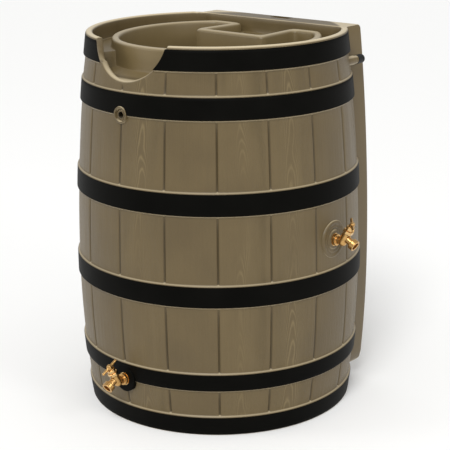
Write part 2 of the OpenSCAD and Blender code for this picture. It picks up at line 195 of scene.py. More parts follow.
def plasticMaterial(name, base, worn, rough, bumpSize, grain=380.0, gloss=0.5):
    m, t, shader = newMaterial(name)
    vec, x, y, z = objectPlace(t)
    cloud = noise(t, vec, 11.0, 4.0)
    pits = noise(t, vec, grain, 3.0)
    scratch = noise(t, combine(t, x * 30, y * 30, z * 900), 1.0, 2.0).between(0.62, 0.78)
    colour = mixColour(t, cloud.between(0.35, 0.75) * 0.7, base, worn)
    colour = mixColour(t, scratch * 0.25, colour, worn)
    setShader(t, shader, Base_Color=colour, Roughness=(rough + cloud * 0.14 + pits * 0.1 - 0.1).clamped(),
              Normal=bump(t, pits + scratch * 0.6, bumpSize), Specular_IOR_Level=gloss)
    return m

def metalMaterial(name, base, deep, rough, bumpSize, grain, tarnish=0.35):
    m, t, shader = newMaterial(name)
    vec, x, y, z = objectPlace(t)
    cast = noise(t, vec, grain, 4.0, 0.6)
    cloud = noise(t, vec, 95.0, 3.0)
    stain = cloud.between(0.5, 0.75)
    colour = mixColour(t, stain * tarnish, base, deep)
    setShader(t, shader, Base_Color=colour, Metallic=1.0,
              Roughness=(rough + cast * 0.16 + stain * 0.18 - 0.08).clamped(), Normal=bump(t, cast, bumpSize))
    return m

def rubberMaterial():
    m, t, shader = newMaterial("rubber")
    vec, x, y, z = objectPlace(t)
    dust = noise(t, vec, 220.0, 4.0)
    colour = mixColour(t, dust.between(0.4, 0.8) * 0.5, (0.012, 0.012, 0.012), (0.045, 0.043, 0.04))
    setShader(t, shader, Base_Color=colour, Roughness=0.62 + dust * 0.2, Normal=bump(t, dust, 0.0001))
    return m

khaki = khakiMaterial()
bandBlack = plasticMaterial("blackBand", (0.0016, 0.0015, 0.0010), (0.0036, 0.0034, 0.0026), 0.50, 0.00010,
                            gloss=0.04)
capBlack = plasticMaterial("blackPlastic", (0.003, 0.003, 0.003), (0.008, 0.008, 0.0075), 0.36, 0.00008, 700.0,
                           gloss=0.2)
castBrass = metalMaterial("castBrass", (0.58, 0.345, 0.125), (0.24, 0.12, 0.035), 0.27, 0.00016, 620.0)
turnedBrass = metalMaterial("turnedBrass", (0.70, 0.46, 0.20), (0.36, 0.20, 0.06), 0.18, 0.00004, 900.0, 0.25)
stainless = metalMaterial("stainless", (0.62, 0.62, 0.60), (0.40, 0.39, 0.37), 0.24, 0.00003, 1200.0, 0.3)
rubber = rubberMaterial()
print("stage: materials")

# helpers

def added(name, data):
    ob = bpy.data.objects.new(name, data)
    bpy.context.scene.collection.objects.link(ob)
    return ob

def dress(ob, material):
    ob.data.materials.clear()
    ob.data.materials.append(material)

def fitted(ob, slot, body, *cadNodes):
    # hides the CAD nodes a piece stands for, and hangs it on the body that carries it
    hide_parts(*cadNodes)
    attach(ob, body)

def newMesh(name, verts, faces, material, smoothAngle=38):
    me = bpy.data.meshes.new(name)
    me.from_pydata([tuple(v) for v in verts], [], faces)
    me.validate()
    ob = added(name, me)
    me.materials.append(material)
    finish(ob, smoothAngle)
    return ob

def finish(ob, smoothAngle=38, outward=False, merge=0.0):
    bm = bmesh.new()
    bm.from_mesh(ob.data)
    if merge:
        bmesh.ops.remove_doubles(bm, verts=bm.verts, dist=merge)
    if outward:
        bmesh.ops.recalc_face_normals(bm, faces=bm.faces)
    bm.to_mesh(ob.data)
    bm.free()
    ob.data.shade_smooth()
    ob.data.set_sharp_from_angle(angle=math.radians(smoothAngle))
    ob.data.update()

def applied(ob):
    # the evaluated object as a plain mesh, with its modifiers removed
    deps = bpy.context.evaluated_depsgraph_get()
    me = bpy.data.meshes.new_from_object(ob.evaluated_get(deps))
    ob.modifiers.clear()
    old = ob.data
    ob.data = me
    if old.users == 0:
        bpy.data.meshes.remove(old)
    return ob

def joined(name, obs):
    with bpy.context.temp_override(active_object=obs[0], selected_editable_objects=obs, object=obs[0]):
        bpy.ops.object.join()
    obs[0].name = name
    return obs[0]

def placed(ob, matrix):
    ob.data.transform(matrix)
    return ob

def lathe(name, outline, material, steps=64, smoothAngle=38):
    # outline of (radius, height) turned about z; radius 0 at an end closes it with one point
    verts, faces, rings = [], [], []
    for r, h in outline:
        if r < 1e-7:
            rings.append([len(verts)] * steps)
            verts.append((0, 0, h))
        else:
            rings.append(list(range(len(verts), len(verts) + steps)))
            for i in range(steps):
                a = 2 * math.pi * i / steps
                verts.append((r * math.cos(a), r * math.sin(a), h))
    for lo, hi in zip(rings, rings[1:]):
        for i in range(steps):
            j = (i + 1) % steps
            f = [lo[i], lo[j], hi[j], hi[i]]
            f = [v for n, v in enumerate(f) if v not in f[:n]]
            if len(f) > 2:
                faces.append(f)
    ob = newMesh(name, verts, faces, material, smoothAngle)
    finish(ob, smoothAngle, outward=True)
    return ob

def arcPoints(cx, cy, r, a0, a1, n):
    return [(cx + r * math.cos(math.radians(a0 + (a1 - a0) * i / n)),
             cy + r * math.sin(math.radians(a0 + (a1 - a0) * i / n))) for i in range(n + 1)]

def aroundAxis(r, degrees):
    # plan point at radius r, its angle counted from the front
    a = math.radians(degrees)
    return r * math.sin(a), -r * math.cos(a)

def mix(a, b, f):
    return a + (b - a) * f

def smooth(f):
    f = min(1.0, max(0.0, f))
    return f * f * (3 - 2 * f)

def nodeTree(name, inputs):
    # a Geometry Nodes group with a geometry in and out, and named sizes
    g = bpy.data.node_groups.new(name, "GeometryNodeTree")
    g.interface.new_socket("Geometry", in_out="INPUT", socket_type="NodeSocketGeometry")
    g.interface.new_socket("Geometry", in_out="OUTPUT", socket_type="NodeSocketGeometry")
    for key, v in inputs.items():
        kind = "NodeSocketInt" if isinstance(v, int) else "NodeSocketFloat"
        g.interface.new_socket(key, in_out="INPUT", socket_type=kind).default_value = v
    start, end = g.nodes.new("NodeGroupInput"), g.nodes.new("NodeGroupOutput")
    return g, {s.name: Val(g, s) for s in start.outputs if s.name}, end

def closeTree(g, end, geometry, material):
    real = addNode(g, "GeometryNodeRealizeInstances", None, {0: geometry})
    n = g.nodes.new("GeometryNodeSetMaterial")
    n.inputs["Material"].default_value = material
    g.links.new(real.socket, n.inputs[0])
    g.links.new(n.outputs[0], end.inputs[0])

def runTree(ob, g, values=None):
    mod = ob.modifiers.new("made", "NODES")
    mod.node_group = g
    ids = {s.name: s.identifier for s in g.interface.items_tree if getattr(s, "in_out", "") == "INPUT"}
    for key, v in (values or {}).items():
        mod[ids[key]] = v
    return applied(ob)

def emptyMesh(name):
    return added(name, bpy.data.meshes.new(name))

# barrel shape

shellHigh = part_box("tank_top")[1]
bandEdges = [tuple(corner.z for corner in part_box("hoop_%d" % n)) for n in range(1, 7)]
bandEdges[4] = (0.114, bandEdges[4][1])    # this hoop's box also holds the tap's boss

barrel = dict(
    bellyR=max(-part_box("hoop_4")[0].x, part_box("hoop_4")[1].x), bellyZ=0.330, upper=8.4, lower=4.4,
    ribOut=0.0045,
    backY=shellHigh.y, cornerW=0.259, cornerUpper=9.6, cornerLower=5.3, cornerRound=0.007,
    cornerFoot=0.038, footRound=0.030,
    rimTop=shellHigh.z, rimThick=0.017, lipRise=0.006, deckZ=0.8875, deckY=0.196,
    moatZ=0.850, ridgeTop=0.874, ridgeR=0.246, ridgeThick=0.020, ridgeBack=0.187,
    bayZ=0.840, bayFront=0.057, bayHalfBack=0.077, bayHalfFront=0.087, bowlZ=0.770,
    notchR=0.109, notchZ=0.807, spillHalf=28.0, spillRidgeZ=0.817, spillRimZ=0.8062,
    staveAngle=20.6, grooveWidth=0.0080, grooveDepth=0.0031, arcEnd=127.0)

def hoopR(z, b=barrel):
    return b["bellyR"] - (z - b["bellyZ"]) ** 2 / (b["upper"] if z > b["bellyZ"] else b["lower"])

def cornerX(z, b=barrel):
    z = max(z, b["cornerFoot"] + b["footRound"])
    return b["cornerW"] - (z - b["bellyZ"]) ** 2 / (b["cornerUpper"] if z > b["bellyZ"] else b["cornerLower"])

# a rib's edge: (distance past the band's edge, depth under the hoop's face), both in millimetres
edgeUp = [(-3, 1.5), (-0.35, 1.4), (0.05, 0.35), (0.8, 0.35), (1.9, 1.2), (3.0, 2.6), (4.0, 3.7),
          (5.2, 4.35), (6.8, 4.5)]
edgeDown = [(-3, 1.5), (-0.35, 1.4), (0.05, 0.35), (0.6, 0.5), (1.3, 1.6), (2.0, 3.0), (2.8, 4.0),
            (3.8, 4.4), (5.0, 4.5)]

def wallRows(b=barrel):
    # the outer wall from the base up, as (height, radius)
    rows = []
    for n in range(5, -1, -1):
        lo, hi = bandEdges[n]
        if n == 5:
            rows += [(0.0, hoopR(0) - 0.0052), (0.0004, hoopR(0) - 0.0036), (0.0013, hoopR(0) - 0.0022),
                     (lo - 0.00005, hoopR(lo) - 0.0014), (lo + 0.002, hoopR(lo) - 0.0015)]
        else:
            rows += [(lo - d / 1000, hoopR(lo) - e / 1000) for d, e in reversed(edgeDown)]
        rows.append((mix(lo, hi, 0.5), hoopR(mix(lo, hi, 0.5)) - 0.0015))
        if n > 0:
            rows += [(hi + d / 1000, hoopR(hi) - e / 1000) for d, e in edgeUp]
            a, c = hi + 0.0068, bandEdges[n - 1][0] - 0.005
            count = max(2, round((c - a) / 0.022))
            rows += [(mix(a, c, i / count), hoopR(mix(a, c, i / count)) - b["ribOut"]) for i in range(1, count)]
        else:
            rows += [(hi - 0.003, hoopR(hi) - 0.0015), (hi - 0.00035, hoopR(hi) - 0.0014),
                     (hi, hoopR(hi) - 0.0004)]
    return rows

wall = wallRows()

def wallR(z):
    for (z0, r0), (z1, r1) in zip(wall, wall[1:]):
        if z0 <= z <= z1 and z1 > z0:
            return mix(r0, r1, (z - z0) / (z1 - z0))
    return wall[-1][1] if z > wall[-1][0] else wall[0][1]

def arcColumns(b=barrel):
    # angles from the front, close together at grooves, at the notch's edge and at the pocket's step
    angles = set()
    k = 0
    while k * b["staveAngle"] < b["arcEnd"]:
        for d in (0, 0.15, 0.3, 0.45, 0.58, 0.74):
            angles |= {round(k * b["staveAngle"] + s * d, 3) for s in (1, -1)}
        k += 1
    angles |= {round(11 + 0.4 * i, 3) for i in range(26)}
    angles |= {round(b["spillHalf"] + d, 3) for d in (-0.9, -0.5, -0.25, 0, 0.25, 0.5, 0.9)}
    angles = sorted(a for a in angles if 0 <= a <= b["arcEnd"])
    out = []
    for a0, a1 in zip(angles, angles[1:] + [b["arcEnd"]]):
        if out and a0 - out[-1] < 0.09:
            continue
        out.append(a0)
        n = math.ceil((a1 - a0) / 1.8)
        out += [mix(a0, a1, i / n) for i in range(1, n)]
    return out + ([b["arcEnd"]] if b["arcEnd"] - out[-1] > 0.1 else [])

columns = arcColumns()
sideCount, cornerCount, backCount = 9, 5, 30

def notchTop(x, b=barrel):
    # height of the rim's top over x, lowered by the round notch
    if abs(x) >= b["notchR"] * 0.9995:
        return b["rimTop"]
    z = b["notchZ"] + b["notchR"] - math.sqrt(b["notchR"] ** 2 - x * x)
    soft = 0.0035
    return -soft * math.log(math.exp(-z / soft) + math.exp(-b["rimTop"] / soft)) if z < b["rimTop"] + 0.02 \
        else b["rimTop"]

def footW(z, b=barrel):
    # half width of the square corners, with their rounded feet
    foot, rnd = b["cornerFoot"], b["footRound"]
    w = cornerX(z)
    if z < foot + rnd:
        w -= rnd - math.sqrt(max(0.0, rnd * rnd - (foot + rnd - z) ** 2))
    return w

def outerHalf(z, r, b=barrel, inset=0.0):
    # half of the plan outline at height z, from the front to the middle of the back
    pts = [aroundAxis(r, a) for a in columns]
    back = b["backY"] - inset
    if z < b["cornerFoot"] - 1e-6:      # round down here, cut off by the flat back
        end = 180 - math.degrees(math.acos(min(1, back / r)))
        first = b["arcEnd"]
        n = sideCount + cornerCount
        angles = [mix(first, end, (i + 1) / n) for i in range(n)]
        pts += [aroundAxis(r, a) for a in angles]
        w = pts[-1][0]
    else:
        w = footW(z) - inset
        rc = b["cornerRound"]
        yj = math.sqrt(max(0.0, r * r - w * w))
        pts += [(w, mix(yj, back - rc, (i / (sideCount - 1)) ** 1.2)) for i in range(sideCount)]
        pts += arcPoints(w - rc, back - rc, rc, 0, 90, cornerCount - 1)
        w -= rc
    pts += [(w * (1 - (i + 1) / backCount), back) for i in range(backCount)]
    return pts

def innerHalf(r, g, b=barrel):
    # rim's inside, moved inwards by g: round at the front, straight along the deck
    y = b["deckY"] - g
    pts = [aroundAxis(r, a) for a in columns]
    end = 180 - math.degrees(math.acos(y / r))
    n = sideCount + cornerCount
    pts += [aroundAxis(r, mix(b["arcEnd"], end, (i + 1) / n)) for i in range(n)]
    x0 = pts[-1][0]
    # first the columns beside the bay, then those that run into it
    xs = [mix(x0, b["bayHalfBack"] + 0.002, (i + 1) / 8) for i in range(8)]
    xs += [mix(b["bayHalfBack"] - 0.001, 0.0, i / 21) for i in range(22)]
    return pts + [(x, y) for x in xs]

def ridgeHalf(g, b=barrel):
    # planter wall's outline moved inwards by g, with the bay let in from the back
    r, y = b["ridgeR"] - g, b["ridgeBack"] - g
    pts = [aroundAxis(r, a) for a in columns]
    end = 180 - math.degrees(math.acos(y / r))
    n = sideCount + cornerCount
    pts += [aroundAxis(r, mix(b["arcEnd"], end, (i + 1) / n)) for i in range(n)]
    x0 = pts[-1][0]
    xb, xf, yf = b["bayHalfBack"] + g, b["bayHalfFront"] + g, b["bayFront"] - g
    path = [(mix(x0, xb, (i + 1) / 8), y) for i in range(8)]
    path += [(mix(xb, xf, (i + 1) / 12), mix(y, yf, (i + 1) / 12)) for i in range(12)]
    path += [(mix(xf, 0, (i + 1) / 10), yf) for i in range(10)]
    pts += path
    start = len(columns) + n - 3
    for _ in range(2):                 # eases the corners
        old = list(pts)
        for i in range(start, len(pts) - 1):
            pts[i] = tuple(old[i][c] * 0.5 + (old[i - 1][c] + old[i + 1][c]) * 0.25 for c in (0, 1))
    return pts

def bayShare(i):
    # 1 for the columns that lie in the bay
    return 1.0 if i >= len(columns) + sideCount + cornerCount + 8 else 0.0

def floorZ(i, share, b=barrel):
    # channel floor for column i; share runs from the rim (0) to the planter wall (1)
    if i >= len(columns):
        return b["moatZ"]
    pocket = 1 - smooth((columns[i] - b["spillHalf"] + 0.55) / 1.1)
    return mix(b["moatZ"], mix(b["spillRimZ"], b["spillRidgeZ"], share), pocket)

def shellRows(b=barrel):
    # every row is a half outline of (x, y, z) points with the same number of columns
    rows, nArc, nAll = [], len(columns), len(columns) + sideCount + cornerCount + backCount
    tops = [notchTop((b["bellyR"] - 0.045) * math.sin(math.radians(a))) for a in columns]
    foot = b["cornerFoot"]
    heights = list(wall) + [(foot - 0.0001, wallR(foot)), (foot, wallR(foot))]
    heights += [(z, wallR(z)) for z in (foot + 0.0015, foot + 0.005, foot + 0.012)]
    for z, r in sorted(heights):
        inset = 0.0015 * max(0.0, (z - bandEdges[0][1] + 0.0035) / 0.0035) if z > bandEdges[0][1] - 0.0035 else 0
        row = []
        for i, (x, y) in enumerate(outerHalf(z, r, inset=inset)):
            top = tops[i] - b["lipRise"] if i < nArc else 9
            if z > top:                # the wall stops under the notch's lip
                row.append((*aroundAxis(wallR(top), columns[i]), top))
            else:
                row.append((x, y, z))
        rows.append(row)
    # lip, and the rear deck in the same rows
    rimIn = wall[-1][1] - b["rimThick"]
    outer, inner = rows[-1], innerHalf(rimIn, 0.0)
    steps = 12
    for k in range(1, steps + 1):
        th = math.pi * k / steps
        f = (1 - math.cos(th)) / 2
        row = []
        for i in range(nAll):
            ox, oy, oz = outer[i]
            if i < nArc:
                rOut = math.hypot(ox, oy)
                rr = mix(rOut, min(rimIn, rOut - b["rimThick"]) if tops[i] > b["rimTop"] - 0.002
                         else rOut - b["rimThick"], f)
                z = tops[i] - b["lipRise"] + b["lipRise"] * math.sin(th)
                z = max(z, floorZ(i, 0)) if f > 0.5 else z
                row.append((*aroundAxis(rr, columns[i]), z))
            else:
                ix, iy = inner[i]
                x, y = mix(ox, ix, f), mix(oy, iy, f)
                length = math.hypot(ox - ix, oy - iy)
                z = b["deckZ"]
                for d, rr in ((f * length, 0.0045), ((1 - f) * length, 0.005)):
                    if d < rr:
                        z -= (rr - math.sqrt(max(0.0, rr * rr - (rr - d) ** 2))) * 0.85
                row.append((x, y, z))
        rows.append(row)
    # inside of the rim, down to the channel floor
    lipRow = rows[-1]
    for drop, g in ((0.25, 0.0), (0.6, 0.0), (0.85, 0.0005), (0.96, 0.0016), (1.0, 0.0045)):
        base = innerHalf(rimIn - g, g)
        row = []
        for i in range(nAll):
            lx, ly, lz = lipRow[i]
            if i < nArc:
                row.append((*aroundAxis(math.hypot(lx, ly) - g, columns[i]), mix(lz, floorZ(i, 0), drop)))
            else:
                row.append((*base[i], mix(lz, floorZ(i, 0), drop)))
        rows.append(row)
    # channel floor, with the step down into the bay
    edge, foot0 = rows[-1], ridgeHalf(-0.004)
    for share, bayDrop in ((0.30, 0.0), (0.42, 1.0), (0.6, 1.0), (0.8, 1.0), (1.0, 1.0)):
        row = []
        for i in range(nAll):
            bay = bayShare(i)
            ex, ey, _ = edge[i]
            fx, fy = foot0[i]
            if bay and share < 0.5:
                x, y = ex, mix(ey, b["ridgeBack"] - 0.001, share / 0.42)
            elif bay:
                x0, y0 = ex, b["ridgeBack"] - 0.001
                s = (share - 0.42) / 0.58
                x, y = mix(x0, fx, s), mix(y0, fy, s)
            else:
                x, y = mix(ex, fx, share), mix(ey, fy, share)
            z = floorZ(i, share) - (b["moatZ"] - b["bayZ"]) * bay * bayDrop
            row.append((x, y, z))
        rows.append(row)
    # up the planter wall, over its rounded top and down into the planter
    half = b["ridgeThick"] / 2
    roundH = 0.0075
    shoulder = b["ridgeTop"] - roundH
    for g, f in ((-0.0012, 0.03), (0.0, 0.10), (0.0002, 0.5), (0.0006, 1.0)):
        line = ridgeHalf(g)
        rows.append([(x, y, mix(floorZ(i, 1) - (b["moatZ"] - b["bayZ"]) * bayShare(i),
                                shoulder, f)) for i, (x, y) in enumerate(line)])
    for k in range(1, 12):
        th = math.pi * k / 12
        g = half - (half - 0.0008) * math.cos(th)
        rows.append([(x, y, shoulder + roundH * math.sin(th)) for x, y in ridgeHalf(g)])
    thick, bowl = b["ridgeThick"], b["bowlZ"]
    for g, z in ((-0.0006, shoulder), (0.0, mix(shoulder, bowl, 0.35)), (0.0004, mix(shoulder, bowl, 0.7)),
                 (0.001, bowl + 0.008), (0.0035, bowl + 0.0025), (0.009, bowl)):
        rows.append([(x, y, z) for x, y in ridgeHalf(thick + g)])
    return rows

def shellMesh():
    rows = shellRows()
    n = len(rows[0])
    verts, loops = [], []
    for row in rows:
        loop = list(range(len(verts), len(verts) + n))
        verts += row
        mirrored = list(range(len(verts), len(verts) + n - 2))
        verts += [(-x, y, z) for x, y, z in row[1:-1]]
        loops.append(loop + mirrored[::-1])
    faces = []
    for lo, hi in zip(loops, loops[1:]):
        m = len(lo)
        faces += [(lo[i], lo[(i + 1) % m], hi[(i + 1) % m], hi[i]) for i in range(m)]
    faces.append(tuple(loops[0][::-1]))
    faces.append(tuple(loops[-1]))
    ob = newMesh("tankShell", verts, faces, khaki)
    # where grooves may be cut: 1 on the staves, 0 on ribs, rim, corners and back
    weight = ob.data.attributes.new("stave", "FLOAT", "POINT")
    for v in ob.data.vertices:
        r = math.hypot(v.co.x, v.co.y)
        z = v.co.z
        near = min(min(abs(z - lo), abs(z - hi)) if not lo <= z <= hi else -1 for lo, hi in bandEdges)
        turn = math.degrees(math.atan2(abs(v.co.x), -v.co.y))
        onWall = r > hoopR(z) - 0.0075 and turn < 126 and 0.03 < z < 0.837
        lip = notchTop(v.co.x) - 0.007 if v.co.y < 0 and abs(v.co.x) < 0.109 else 1
        weight.data[v.index].value = smooth((near - 0.0035) / 0.003) if onWall and z < lip - 0.004 else 0.0
    return ob

def groovedShell(ob, b=barrel):
    # grooves follow a rule round the barrel, so a node tree presses them in
    g, ins, end = nodeTree("staveGrooves", {"Stave angle": math.radians(b["staveAngle"]),
                                            "Groove width": b["grooveWidth"], "Groove depth": b["grooveDepth"]})
    place = addNode(g, "GeometryNodeInputPosition")
    sep = addNode(g, "ShaderNodeSeparateXYZ", None, {0: place}).socket.node
    x, y = Val(g, sep.outputs[0]), Val(g, sep.outputs[1])
    r = (x * x + y * y) ** 0.5
    turn = x.calc("ARCTAN2", y * -1) / ins["Stave angle"]
    off = (turn - turn.calc("ROUND")).calc("ABSOLUTE") * ins["Stave angle"] * r
    inside = (1 - off / (ins["Groove width"] * 0.5)).clamped()
    profile = inside * inside * (3 - 2 * inside)
    stave = addNode(g, "GeometryNodeInputNamedAttribute", {"data_type": "FLOAT"}, {0: "stave"})
    kept = addNode(g, "GeometryNodeStoreNamedAttribute", {"data_type": "FLOAT", "domain": "POINT"},
                   {0: ins["Geometry"], "Name": "groove", "Value": profile * stave})
    push = profile * ins["Groove depth"] * stave / r * -1
    offset = addNode(g, "ShaderNodeCombineXYZ", None, {0: x * push, 1: y * push})
    moved = addNode(g, "GeometryNodeSetPosition", None, {0: kept, "Offset": offset})
    closeTree(g, end, moved, khaki)
    return runTree(ob, g)

def cutter(name, outline, matrix, steps=64):
    return placed(lathe(name, outline, khaki, steps), matrix)

def cutOut(ob, cutters):
    for c in cutters:
        mod = ob.modifiers.new("cut", "BOOLEAN")
        mod.operation, mod.solver, mod.object = "DIFFERENCE", "EXACT", c
        applied(ob)
        bpy.data.objects.remove(c)
    return ob

# places from the frame

def facing(angle, z):
    # local -y is outwards, on the barrel's axis at height z
    return Matrix.Translation((0, 0, z)) @ Matrix.Rotation(math.radians(angle), 4, "Z")

outwards = Matrix.Rotation(math.radians(90), 4, "X")     # local +z of a lathe points to -y
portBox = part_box("front_port_insert")
portZ = (portBox[0].z + portBox[1].z) / 2
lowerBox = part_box("lower_tap_insert")
lowerZ, lowerFace = (lowerBox[0].z + lowerBox[1].z) / 2, -lowerBox[0].y
sideJoint = next(j for j in frame["joints"] if j["name"] == "side_tap_turn")
sideAngle = math.degrees(math.atan2(sideJoint["pos_m"][0], -sideJoint["pos_m"][1]))
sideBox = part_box("side_tap_insert")
sideZ, sideFace = (sideBox[0].z + sideBox[1].z) / 2, sideBox[1].x / math.sin(math.radians(sideAngle))
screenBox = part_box("screen_frame")
inletY = (screenBox[0].y + screenBox[1].y) / 2
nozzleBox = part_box("overflow_cap")
nozzleX, nozzleZ = (nozzleBox[0].x + nozzleBox[1].x) / 2, (nozzleBox[0].z + nozzleBox[1].z) / 2

fittings = dict(portRimR=0.019, portRecessR=0.0145, portHoleR=0.00725, inletR=0.052,
                softRingR=0.044, ringOuterR=0.029, padR=0.022,
                nozzleR=(nozzleBox[1].x - nozzleBox[0].x) / 2 - 0.0013, nozzleEnd=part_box("overflow_cap_seal")[0].y,
                pocketHalf=0.0285, pocketY0=0.228, pocketY1=0.253, pocketDepth=0.020)

def portParts(f=fittings):
    face = hoopR(portZ) + 0.001
    deep = face - 0.006
    place = facing(0, portZ) @ outwards
    cut = cutter("portCut", [(0, face - 0.07), (0.0165, face - 0.07), (0.0165, face + 0.02), (0, face + 0.02)],
                 place)
    outline = [(0.0205, face - 0.014), (f["portRimR"] + 0.0006, face - 0.0055), (f["portRimR"], face - 0.0016)]
    outline += arcPoints(f["portRimR"] - 0.0018, face - 0.0018, 0.0018, 0, 90, 5)[1:]
    outline += arcPoints(f["portRecessR"] + 0.0016, face - 0.0016, 0.0016, 90, 180, 5)
    outline += [(f["portRecessR"] - 0.0003, deep + 0.001), (f["portRecessR"] - 0.0012, deep)]
    outline += [(0.0112, deep), (0.0106, deep + 0.0006), (0.0102, deep + 0.0022), (0.0093, deep + 0.0026)]
    hole = f["portHoleR"]
    outline += [(hole + 0.0008, deep + 0.0024), (hole, deep + 0.0016), (hole, face - 0.05)]
    outline += [(0.0102, face - 0.05), (0.0102, face - 0.016), (0.0205, face - 0.014)]
    return cut, placed(lathe("portRim", outline, khaki, 72), place)

def sideRings(f=fittings):
    # raised moulded rings under the side tap
    stave = hoopR(sideZ) - 0.0045
    soft, ring, pad = f["softRingR"], f["ringOuterR"], f["padR"]
    out = [(0.0, stave - 0.02), (soft + 0.002, stave - 0.02), (soft + 0.001, stave - 0.0032)]
    out += [(soft - 0.0002, stave - 0.0006), (soft - 0.0018, stave + 0.0011), (soft - 0.0040, stave + 0.0019)]
    out += [(soft - 0.0066, stave + 0.0019), (soft - 0.0088, stave + 0.0010), (soft - 0.0105, stave - 0.0002)]
    out += [(ring + 0.0030, stave - 0.0003), (ring + 0.0016, stave + 0.0004), (ring + 0.0006, stave + 0.0012)]
    out += [(ring - 0.0008, stave + 0.0012), (ring - 0.0022, stave + 0.0002), (pad + 0.0024, stave - 0.0003)]
    out += [(pad + 0.0008, stave + 0.0006), (pad, stave + 0.0017), (pad - 0.001, stave + 0.0027)]
    out += [(pad - 0.0024, sideFace - 0.0001), (0.0149, sideFace - 0.0001), (0.0145, sideFace - 0.004),
            (0.0, sideFace - 0.004)]
    return placed(lathe("sideRings", out, khaki, 96), facing(sideAngle, sideZ) @ outwards)

def nozzleStub(f=fittings):
    y0, y1, r = 0.140, f["nozzleEnd"] - 0.0001, f["nozzleR"]
    out = [(0.0, y0), (r + 0.0012, y0), (r + 0.0012, y0 + 0.048), (r + 0.0009, y0 + 0.0505), (r, y0 + 0.0515)]
    out += [(r, y1 - 0.001), (r - 0.001, y1)]
    out += [(r - 0.0026, y1), (r - 0.003, y1 - 0.001), (r - 0.003, y0 + 0.02), (0.0, y0 + 0.02)]
    m = Matrix.Translation((nozzleX, 0, nozzleZ)) @ Matrix.Rotation(math.radians(-90), 4, "X")
    return placed(lathe("nozzleStub", out, khaki, 64), m)

def pocketCutter(f=fittings):
    bm = bmesh.new()
    bmesh.ops.create_cube(bm, size=1)
    z1 = barrel["deckZ"] + 0.02
    z0 = barrel["deckZ"] - f["pocketDepth"]
    for v in bm.verts:
        x, y, z = v.co
        v.co = ((x * 2) * f["pocketHalf"], mix(f["pocketY0"], f["pocketY1"], y + 0.5), mix(z0, z1, z + 0.5))
    low = [e for e in bm.edges if min(v.co.z for v in e.verts) < z0 + 1e-6]
    bmesh.ops.bevel(bm, geom=low, offset=0.004, segments=4, affect="EDGES", profile=0.5)
    ob = emptyMesh("pocketCut")
    bm.to_mesh(ob.data)
    bm.free()
    ob.data.materials.append(khaki)
    return ob

def makeShell(f=fittings):
    ob = groovedShell(shellMesh())
    finish(ob, 38, merge=0.00002)
    portCut, portRim = portParts()
    inletCut = cutter("inletCut", [(0, 0.790), (f["inletR"], 0.790), (f["inletR"], 0.86), (0, 0.86)],
                      Matrix.Translation((0, inletY, 0)), 96)
    tapCut = cutter("tapCut", [(0, 0.318), (0.0148, 0.318), (0.0148, 0.36), (0, 0.36)],
                    facing(0, lowerZ) @ outwards)
    cutOut(ob, [portCut, inletCut, tapCut, pocketCutter()])
    finish(ob, 38)
    return joined("tankShell", [ob, portRim, sideRings(), nozzleStub()])

shell = makeShell()
fitted(shell, "khaki_plastic", "barrel", "tank_shell", "tank_top", "front_port_insert")
print("stage: tank shell,", len(shell.data.polygons), "faces")

# black bands

bandLook = dict(edgeRound=0.0006, back=0.00125, rows=5)

def bandStrip(name, angles, lowEdge, highEdge, k=bandLook):
    # a closed strip: angles in degrees from the front; edges are functions of the angle
    verts, rings = [], []
    for a in angles:
        lo, hi = lowEdge(a), highEdge(a)
        sec = [(lo + 0.0003, -k["back"]), (lo + 0.00005, -0.0006), (lo + k["edgeRound"], 0.0)]
        sec += [(mix(lo, hi, (i + 1) / (k["rows"] + 1)), 0.0) for i in range(k["rows"])]
        sec += [(hi - k["edgeRound"], 0.0), (hi - 0.00005, -0.0006), (hi - 0.0003, -k["back"])]
        ring = []
        for z, d in sec:
            r = hoopR(z) + d
            ring.append(len(verts))
            x, y = aroundAxis(r, a)
            verts.append((x, min(y, barrel["backY"] - 0.0001), z))
        rings.append(ring)
    faces = []
    for p, q in zip(rings, rings[1:]):
        m = len(p)
        faces += [(p[i], q[i], q[(i + 1) % m], p[(i + 1) % m]) for i in range(m)]
    faces += [tuple(rings[0]), tuple(rings[-1][::-1])]
    ob = newMesh(name, verts, faces, bandBlack)
    finish(ob, 45, outward=True, merge=0.000005)
    return ob

def bandEnd(n, z, b=barrel):
    # angle at which the band runs into the square corner, or into the flat back at the foot
    r = hoopR(z)
    if n == 6:
        return 180 - math.degrees(math.acos(b["backY"] / r)) - 0.05
    w = cornerX(z)
    return 90 + math.degrees(math.acos(w / r)) + 0.4

def spread(a0, a1, step=1.5, extra=()):
    n = math.ceil((a1 - a0) / step)
    even = {round(mix(a0, a1, i / n), 4) for i in range(n + 1)}
    return sorted(even | {round(e, 4) for e in extra if a0 < e < a1})

